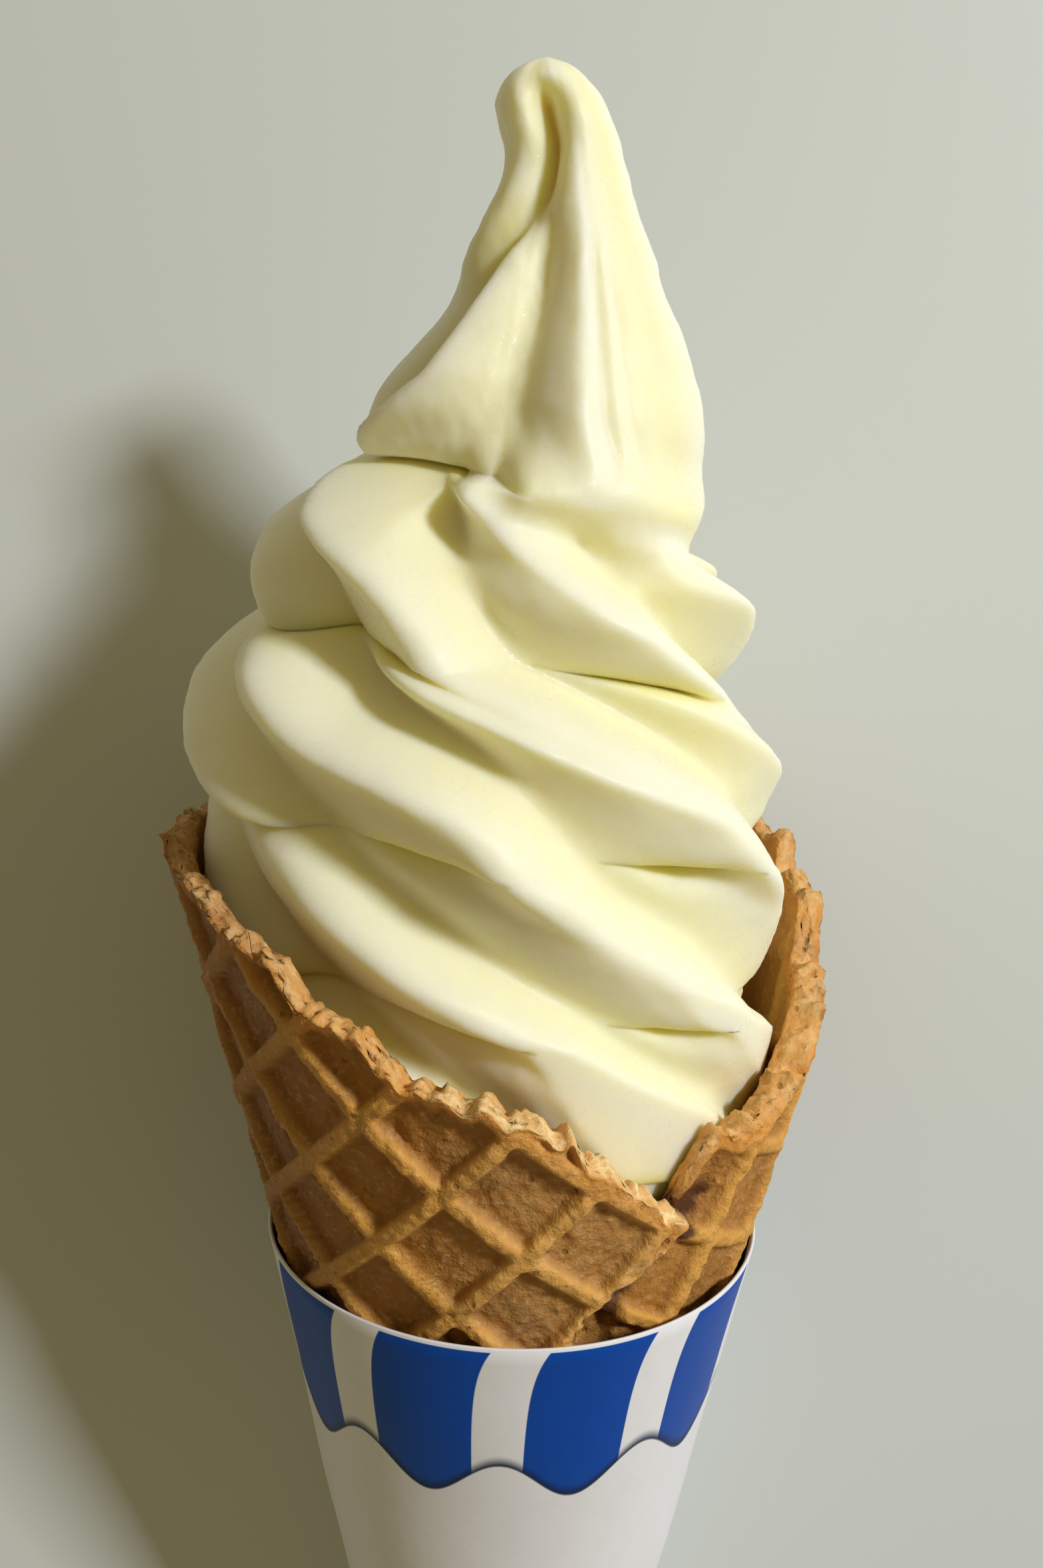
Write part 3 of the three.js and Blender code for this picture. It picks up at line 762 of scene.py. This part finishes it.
def swirl_material(s):
    """Moist soft ice cream: light goes a little way in, crystals roughen it and a few of them glint."""
    g = Graph("soft_serve_cream")
    mottle = g.step(g.noise(260.0, 4.0), 0.35, 0.75)
    # painted shade in the grooves, creases and fold
    base = g.blend(g.field("painted_shade"), s.cream, s.painted_shade)
    base = g.blend(mottle, base, g.blend(0.25, base, FROST))
    crystals = g.noise(2600.0, 2.0, 0.6)
    grain = g.noise(900.0, 3.0, 0.6)
    wet = g.times(g.step(crystals, 0.60, 0.68), g.step(g.noise(120.0, 2.0), 0.46, 0.62))
    height = g.math("ADD", g.times(grain, 0.65), g.times(crystals, 0.35))
    return g.finish({
        "Base Color": base,
        "Roughness": g.between(grain, 0.40, 0.56),
        "IOR": 1.38,
        "Normal": g.bump(height, 0.00014, 0.4),
        "Subsurface Weight": 1.0,
        "Subsurface Radius": (1.0, 0.86, 0.36),
        "Subsurface Scale": 0.0028,
        "Coat Weight": g.times(wet, 0.8),
        "Coat Roughness": 0.16,
        "Coat Normal": g.bump(crystals, 0.00022, 0.45),
    })


class CONE_OT_soft_serve(bpy.types.Operator):
    """Pipe the swirl of soft ice cream on its helical grid"""

    bl_idname = "cone.soft_serve"
    bl_label = "Pipe Soft Serve"

    def execute(self, context):
        s = context.scene.cone_swirl
        edge = np.linspace(-1.0, 1.0, s.rows // 2 * 2 + 1)
        across = np.sign(edge) * 0.5 * (1.0 - (1.0 - np.abs(edge)) ** ROW_GATHER)
        turns = np.arange(LOWEST_TURN, HIGHEST_TURN + 1)
        start = RIDGE_AZIMUTH - 180.0
        azimuth, turn, across = np.broadcast_arrays(
            (start + 360.0 * np.arange(s.columns) / s.columns)[:, None],
            np.repeat(turns, len(across))[None, :],
            np.tile(across, len(turns))[None, :],
        )
        sheet = context.scene.cone_waffle.sheet / MM
        points, painted_shade = swirl_points(s, sheet, azimuth, turn, across)
        quads = grid_faces(*points.shape[:2], row_shift=len(edge))
        quads = np.roll(quads, -1, axis=1)  # they split along their other diagonal
        piece = add_mesh("swirl", points, quads, swirl_material(s), {"painted_shade": painted_shade})
        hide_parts("soft_serve")
        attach(piece, "root")
        return {"FINISHED"}


# ----------------------------------------waffle
def pocket_field(s, azimuth, height):
    """1 on a pocket's floor, 0 on the ribs. The sheet is unrolled flat and ruled both ways at the ribs'
    pitch, and the distances from a cell's middle both ways give how far down a point lies.
    """
    apex = WAFFLE_RADIUS / WAFFLE_FLARE
    slope = math.hypot(1.0, WAFFLE_FLARE)
    distance = (height + apex) * slope
    unrolled = np.radians(azimuth) * WAFFLE_FLARE / slope
    along, aside = distance * np.cos(unrolled), distance * np.sin(unrolled)
    turn, cell = s.rib_turn, s.cell / MM
    u = along * math.cos(turn) - aside * math.sin(turn) - LATTICE[0]
    v = along * math.sin(turn) + aside * math.cos(turn) - LATTICE[1]
    off_u = np.abs((u / cell + 0.5) % 1.0 - 0.5) * cell
    off_v = np.abs((v / cell + 0.5) % 1.0 - 0.5) * cell
    wall = s.pocket / MM / 2, s.floor / MM / 2
    return ramp(off_u, *wall) * ramp(off_v, *wall)


def rim_height(s, turn):
    """The rim's height: its table, taken in steps where the sheet broke off in chunks, with crumbs of
    four sizes as lumps along the rim.
    """
    ring = around(RIM_RADIUS, turn, 0.0)
    ragged = rough(ring, (0.6, 13.0, 41), (0.8, 6.0, 42), (0.6, 2.6, 43), (0.4, 1.3, 44))
    chunk = turn / CHUNK + 0.4 + 0.16 * lumps(ring, 21.0, 45) * ramp(turn, 0.0, 30.0)
    part = chunk % 1.0
    ahead = CHUNK * (ramp(part, 0.8, 1.0) - part) * ramp(np.minimum(turn, 360.0 - turn), 0.0, 8.0)
    return through(RIM, turn + CHUNK_LEVEL * ahead) + s.crumble / MM * ragged


def waffle_rows(s, turn):
    """Heights of the grid's rows: up the outside, over the rim in half a circle and down the inside.

    What the rim is bitten off is taken up by the rows near it, with the fourth power of their place.
    Returns the heights, each row's place through the sheet from 0 to 1, and the rim's height.
    """
    even = through(RIM, turn)
    top = rim_height(s, turn)
    up = np.linspace(0.0, 1.0, s.rows)
    down = np.linspace(1.0, 0.0, INSIDE_ROWS)
    over = np.linspace(0.0, np.pi, RIM_ROWS + 2)[1:-1]
    outer_hidden = np.array([WAFFLE_TIP + 2.0, *HIDDEN_ROWS])
    inner_hidden = np.array([*reversed(HIDDEN_ROWS), WAFFLE_INSIDE_TIP])
    crumbs = rough(around(RIM_RADIUS, turn, 1.2 * over), (0.34, 2.4, 46), (0.26, 1.1, 47))

    def side(place):
        return SHOWN_LOW + (even - RIM_EDGE - SHOWN_LOW) * place + (top - even) * place ** 4

    height = np.concatenate([
        outer_hidden + 0.0 * turn,
        side(up),
        top - RIM_EDGE * (1.0 - np.sin(over)) + crumbs * np.sin(over),
        side(down),
        inner_hidden + 0.0 * turn,
    ], axis=1)
    outside, inside = len(outer_hidden) + len(up), len(down) + len(inner_hidden)
    within = np.concatenate([np.zeros(outside), 0.5 - 0.5 * np.cos(over), np.ones(inside)])[None, :]
    return height, within, top


def waffle_grid(s):
    """The rolled sheet as one closed surface, in columns that run left from the seam.

    The radius is the cone's slope, one sheet less where the lower layer comes out from under the seam,
    less the pockets; crumbs are lumps added to it. Returns the laid points and the fields for the
    material.
    """
    sheet = s.sheet / MM
    turn = np.linspace(0.0, 360.0, s.columns + 1)[:, None]
    height, within, top = waffle_rows(s, turn)
    depth = top - height
    shown = ramp(height, -6.0, -3.0)
    along = around(0.0, 0.0, height)
    torn = rough(along, (1.1, 5.0, 18), (0.8, 2.0, 19), (0.4, 0.9, 20)) * shown * ramp(turn, 11.0, 2.0)
    azimuth = seam_azimuth(height) - turn + torn

    place = around(waffle_outside(height), azimuth, height + 40.0 * within)
    broken = np.maximum(ramp(depth, 1.2, 0.0), bell((within - 0.5) / 0.45))
    crust = rough(place, (0.09, 2.4, 11), (0.06, 0.9, 12))
    crust = crust + broken * rough(place, (0.26, 2.0, 13), (0.16, 0.9, 14))
    plain = 2.2 + 2.2 * ramp(lumps(place, 24.0, 16), -0.5, 0.5)
    pocket = pocket_field(s, azimuth, height) * smooth((depth - 0.4) / plain) * ramp(turn, 2.0, 4.0)

    seam_edge = rounding(1.0 - turn / SEAM_EDGE)
    lower_layer = 0.75 * ramp(turn, *SEAM_SINK)
    gap = SEAM_GAP_DEPTH * ramp(turn, *SEAM_GAP) * (1.0 - 0.6 * ramp(height, 12.0, 15.0))
    outside = waffle_outside(height) - sheet * np.maximum(lower_layer, seam_edge)
    outside = outside - shown * np.maximum(gap, 1.3 * seam_edge ** 3)
    outside = outside + shown * (crust - s.depth / MM * pocket)
    inside = waffle_inside(azimuth, height, sheet) + shown * (0.7 * crust + 0.5 * pocket)
    points = lay(around(mix(outside, inside, within), azimuth, height))
    tips = [lay(np.array([0.0, 0.0, z])) for z in (WAFFLE_TIP, WAFFLE_INSIDE_TIP)]
    tips = [np.broadcast_to(tip, (len(turn), 1, 3)) for tip in tips]
    points = np.concatenate([tips[0], points, tips[1]], axis=1)

    # painted shadow: dark in the gap beside the seam and along the outer layer's edge
    in_gap = ramp(turn - 0.8 * lumps(along, 2.0, 19), *SEAM_PAINTED_SHADOW[0])
    on_edge = ramp(turn - 0.5 * lumps(along, 1.4, 20), *SEAM_PAINTED_SHADOW[1])
    fields = {
        "pocket": pocket * np.where(within > 0.5, 0.5, 1.0),
        # the broken edge is pale crumbs all round, and painted paler still on the lit front as painted
        # light
        "rim": np.maximum(broken, seam_edge * shown) * mix(0.45, 1.0, window(azimuth, PAINTED_LIGHT_FRONT)),
        "painted_seam_shadow": np.maximum(in_gap, on_edge) * window(height, SEAM_PAINTED_SHADOW_HEIGHT),
        # painted shade: the left side, turned away from the key light, gets the toasted colour
        "toast_and_painted_shade": 0.5 * window(azimuth, PAINTED_SHADE_SIDE),
        "high": ramp(depth, 6.0, 0.0),
    }
    return points, {name: np.pad(values, ((0, 0), (1, 1))) for name, values in fields.items()}


def waffle_material(s):
    """Baked wafer: golden ribs, browner pockets, toasted patches, pores, and a pale crumbly edge."""
    g = Graph("baked_waffle")
    patches = g.noise(95.0, 4.0, 0.6)
    grains = g.noise(1300.0, 3.0, 0.65)
    crumbs = g.step(g.noise(620.0, 4.0, 0.7), 0.42, 0.62)
    crust = g.blend(g.step(g.field("high"), 0.0, 1.0), s.rib, s.golden)
    base = g.blend(g.step(g.field("pocket"), 0.1, 0.95), crust, s.baked)
    # toasted patches at random, and the painted shade on the left side
    toast_and_painted_shade = g.math("MAXIMUM", g.times(g.step(patches, 0.48, 0.78), 0.55), g.field("toast_and_painted_shade"))
    base = g.blend(toast_and_painted_shade, base, s.toasted)
    base = g.blend(g.times(g.step(grains, 0.5, 0.8), 0.3), base, s.broken)
    edge = g.times(g.step(g.field("rim"), 0.1, 0.9), g.math("MULTIPLY_ADD", crumbs, 0.6, 0.4))
    base = g.blend(edge, base, s.broken)
    # painted shade: the pores are darkened with the toasted colour, and dented by the bump
    pit = g.inverse(g.step(g.pores(620.0), 0.10, 0.26))
    pit = g.times(pit, g.step(g.noise(330.0, 2.0), 0.5, 0.62))
    # painted shade in the pores and painted shadow at the seam, both in the toasted colour
    base = g.blend(g.math("MAXIMUM", g.times(pit, 0.5), g.field("painted_seam_shadow")), base, s.toasted)
    height = g.math("ADD", g.times(grains, 0.7), g.times(crumbs, 0.18))
    height = g.math("SUBTRACT", height, g.times(pit, 0.35))
    return g.finish({
        "Base Color": base,
        "Roughness": g.between(patches, 0.55, 0.8),
        "Normal": g.bump(height, 0.0004, 0.8),
        "Subsurface Weight": 0.08,
        "Subsurface Radius": (1.0, 0.5, 0.2),
        "Subsurface Scale": 0.002,
    })


class CONE_OT_waffle(bpy.types.Operator):
    """Roll the waffle: one ribbed sheet with a broken rim and an overlapping seam"""

    bl_idname = "cone.waffle"
    bl_label = "Roll Waffle"

    def execute(self, context):
        s = context.scene.cone_waffle
        points, fields = waffle_grid(s)
        quads = grid_faces(*points.shape[:2])[:, ::-1]  # turned round, because columns run left
        piece = add_mesh("waffle", points, quads, waffle_material(s), fields)
        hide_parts("waffle_cone")
        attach(piece, "root")
        return {"FINISHED"}


# ----------------------------------------sleeve
def sleeve_grid(s):
    """A thin paper cone: a closed ring of profile points, outside up and inside down, turned round the
    axis. The glued seam at the back is a small step in radius, and the paper waves a little below the
    rim. Returns the laid points and their heights.
    """
    rows, inside_rows, edge = 60, 24, 0.15
    outer = np.linspace(SLEEVE_END, -edge, rows)
    inner = np.linspace(-edge, SLEEVE_END, inside_rows)
    height = np.concatenate([outer, [0.0, 0.0], inner])[None, :]
    within = np.concatenate([np.zeros(rows), [0.3, 0.7], np.ones(inside_rows)])[None, :]
    azimuth = (360.0 * np.arange(s.columns) / s.columns - 180.0)[:, None]
    azimuth, height, within = np.broadcast_arrays(azimuth, height, within)
    flap = FLAP_STEP * window(azimuth, FLAP_SPAN)
    wave = 0.10 * lumps(around(sleeve_outside(height), azimuth, height), 26.0, 21)
    radius = sleeve_outside(height) - s.paper / MM * within + flap + wave * ramp(height, 2.0, -12.0)
    return lay(around(radius, azimuth, height)), height


def sleeve_uv(height):
    """The unrolled sleeve at its quads' corners: once round it across, from its end to its rim up."""
    columns, rows = height.shape
    u = np.broadcast_to((np.arange(columns) / columns)[:, None], (columns, rows))
    v = 1.0 - height / SLEEVE_END
    right, up = u + 1.0 / columns, np.roll(v, -1, axis=1)
    corners = ((u, v), (right, v), (right, up), (u, up))
    return np.stack([np.stack(corner, -1) for corner in corners], 2)


def sleeve_material(s):
    """Printed paper: blue awning stripes that lean left below the rim, a scalloped lower edge with a
    printed shadow, bare white paper under it, and faint fibres.
    """
    g = Graph("awning_paper")
    unrolled = {0: g.node("ShaderNodeUVMap", uv_map="Paper")}
    across = g.node("ShaderNodeSeparateXYZ", unrolled)
    up = g.node("ShaderNodeSeparateXYZ", unrolled, output=1)
    azimuth = g.math("MULTIPLY_ADD", across, 360.0, -180.0)
    height = g.math("MULTIPLY_ADD", up, -SLEEVE_END, SLEEVE_END)
    period = math.degrees(s.period)

    lean = g.inverse(g.math("EXPONENT", g.math("DIVIDE", height, STRIPE_LEAN_DEPTH)))
    shifted = g.math("MULTIPLY_ADD", lean, STRIPE_LEAN, azimuth)
    from_edge = g.math("ADD", shifted, 10 * period - STRIPE_AZIMUTH)
    stripe = g.math("FRACT", g.math("DIVIDE", from_edge, period))
    soft = 0.008
    blue = g.math("SUBTRACT", g.step(stripe, 0.0, soft), g.step(stripe, s.share, s.share + soft))

    waves = g.times(g.math("ADD", azimuth, -SCALLOP_AZIMUTH), 2 * math.pi / period)
    edge = g.math("MULTIPLY_ADD", g.math("COSINE", waves), -s.scallop / MM, -s.awning / MM)
    above = g.math("SUBTRACT", height, edge)
    band = g.step(above, -0.06, 0.06)
    shade = g.times(band, g.inverse(g.step(above, 0.1, 1.5)))
    line = g.times(g.step(above, -0.22, -0.1), g.inverse(g.step(above, 0.1, 0.35)))
    border = g.step(height, -0.5, -0.38)
    blue = g.times(g.times(blue, band), g.inverse(border))

    fibres = g.noise(420.0, 4.0, 0.6)
    base = g.blend(g.step(fibres, 0.3, 0.8), s.white, g.blend(0.12, s.white, FIBRE_GREY))
    base = g.blend(blue, base, s.blue)
    base = g.blend(g.times(shade, 0.85), base, s.shadow)
    base = g.blend(g.times(line, 0.8), base, s.shadow)
    return g.finish({
        "Base Color": base,
        "Roughness": 0.45,
        "Specular IOR Level": 0.18,
        "Normal": g.bump(fibres, 0.00006, 0.5),
    })


class CONE_OT_sleeve(bpy.types.Operator):
    """Wrap the printed paper sleeve round the waffle"""

    bl_idname = "cone.sleeve"
    bl_label = "Wrap Paper Sleeve"

    def execute(self, context):
        s = context.scene.cone_sleeve
        points, height = sleeve_grid(s)
        quads = grid_faces(*height.shape, ring=True)
        piece = add_mesh("sleeve", points, quads, sleeve_material(s), welded=False)
        layer = piece.data.uv_layers.new(name="Paper")
        layer.data.foreach_set("uv", sleeve_uv(height).reshape(-1).astype(np.float32))
        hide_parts("paper_sleeve")
        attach(piece, "root")
        return {"FINISHED"}


# ----------------------------------------stage
def add_floor(s):
    """A plain square floor under the cone."""
    half = s.size / 2
    mesh = bpy.data.meshes.new("floor")
    corners = [(-half, -half, 0.0), (half, -half, 0.0), (half, half, 0.0), (-half, half, 0.0)]
    mesh.from_pydata(corners, [], [(0, 1, 2, 3)])
    mesh.materials.append(Graph("plain_floor").finish({"Base Color": s.floor, "Roughness": 0.7}))
    floor = add_object("floor", mesh)


def add_lights(s):
    """Even light all round, and a square soft box on the right, turned to the cone."""
    world = bpy.data.worlds.new("room")
    world.use_nodes = True
    background = world.node_tree.nodes["Background"]
    background.inputs["Color"].default_value = (*s.sky, 1.0)
    background.inputs["Strength"].default_value = s.sky_strength
    bpy.context.scene.world = world
    light = bpy.data.lights.new("key", "AREA")
    light.size = KEY_SIZE
    light.energy = s.key
    light.color = s.key_colour
    lamp = add_object("key", light)
    lamp.location = KEY_PLACE
    lamp.rotation_euler = (Vector(KEY_TARGET) - Vector(KEY_PLACE)).to_track_quat("-Z", "Y").to_euler()


def add_camera():
    """The camera, which looks down on the cone."""
    lens = bpy.data.cameras.new("camera")
    lens.sensor_fit = "VERTICAL"
    lens.sensor_height = SENSOR
    lens.lens = CAMERA_LENS
    lens.clip_start = 0.01
    camera = add_object("camera", lens)
    camera.location = CAMERA_PLACE
    camera.rotation_euler = Euler([math.radians(degrees) for degrees in CAMERA_TURN])
    bpy.context.scene.camera = camera


class CONE_OT_stage(bpy.types.Operator):
    """Set up the plain floor, the soft lights and the camera that looks down on the cone"""

    bl_idname = "cone.stage"
    bl_label = "Set Stage"

    def execute(self, context):
        s = context.scene.cone_stage
        add_floor(s)
        add_lights(s)
        add_camera()
        context.scene.view_settings.view_transform = "Standard"
        return {"FINISHED"}


# ----------------------------------------panel and registration
# where a scene keeps each piece's settings, their class and the piece's operator
PIECES = (
    ("cone_swirl", SwirlSettings, CONE_OT_soft_serve),
    ("cone_waffle", WaffleSettings, CONE_OT_waffle),
    ("cone_sleeve", SleeveSettings, CONE_OT_sleeve),
    ("cone_stage", StageSettings, CONE_OT_stage),
)


class VIEW3D_PT_soft_serve(bpy.types.Panel):
    """Lists the pieces of the cone with their settings"""

    bl_label = "Soft Serve Cone"
    bl_space_type = "VIEW_3D"
    bl_region_type = "UI"
    bl_category = "Soft Serve"

    def draw(self, context):
        for group, _, operator in PIECES:
            box = self.layout.box()
            settings = getattr(context.scene, group)
            for name in settings.__annotations__:
                box.prop(settings, name)
            box.operator(operator.bl_idname)


CLASSES = (*(kind for row in PIECES for kind in row[1:]), VIEW3D_PT_soft_serve)


def register():
    """Registers the classes and gives each scene its settings."""
    for kind in CLASSES:
        bpy.utils.register_class(kind)
    for group, settings, _ in PIECES:
        setattr(bpy.types.Scene, group, PointerProperty(type=settings))


def unregister():
    """Takes the settings and the classes out again."""
    for group, _, _ in PIECES:
        delattr(bpy.types.Scene, group)
    for kind in reversed(CLASSES):
        bpy.utils.unregister_class(kind)


def main():
    """Makes every piece and the stage."""
    register()
    bpy.ops.cone.soft_serve()
    bpy.ops.cone.waffle()
    bpy.ops.cone.sleeve()
    bpy.ops.cone.stage()


if __name__ == "__main__":
    main()
